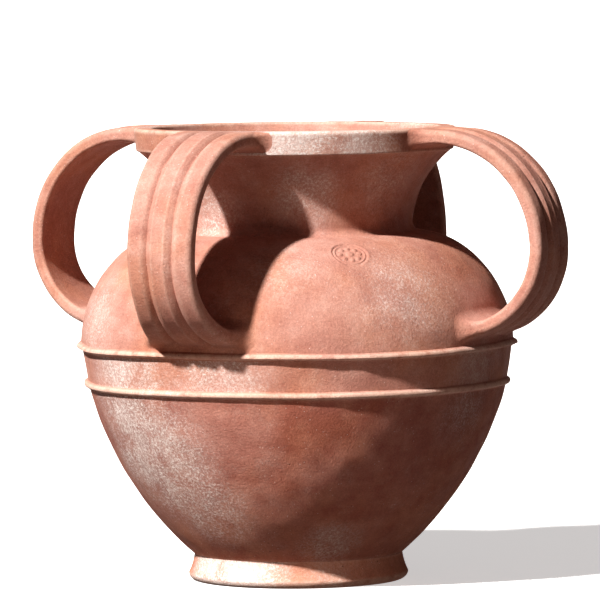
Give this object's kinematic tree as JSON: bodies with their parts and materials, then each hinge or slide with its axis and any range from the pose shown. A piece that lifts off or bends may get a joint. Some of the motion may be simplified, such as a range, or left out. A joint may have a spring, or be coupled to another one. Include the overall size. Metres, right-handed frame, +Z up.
{
  "type": "amphora",
  "caption": "Large unglazed terracotta amphora with a round belly, two belly fillets, a flared neck and ridged strap handles.",
  "frame": {"origin": "centre of the sole, on the surface that the amphora stands on", "axes": "+Z up along the axis of the pot; the four handles stand out along +X, +Y, -X and -Y"},
  "size_m": [0.639, 0.6395, 0.5],
  "materials": {
    "terracotta": "matt, sandy, weathered"
  },
  "bodies": {
    "root": {"foot_ring": "terracotta", "floor_disc": "terracotta", "lower_bowl": "terracotta", "lower_belly_fillet": "terracotta", "belly_band": "terracotta", "upper_belly_fillet": "terracotta", "shoulder": "terracotta", "neck": "terracotta", "rim_band": "terracotta", "handle_right": "terracotta", "handle_back": "terracotta", "handle_left": "terracotta", "handle_front": "terracotta"}
  },
  "joints": []
}
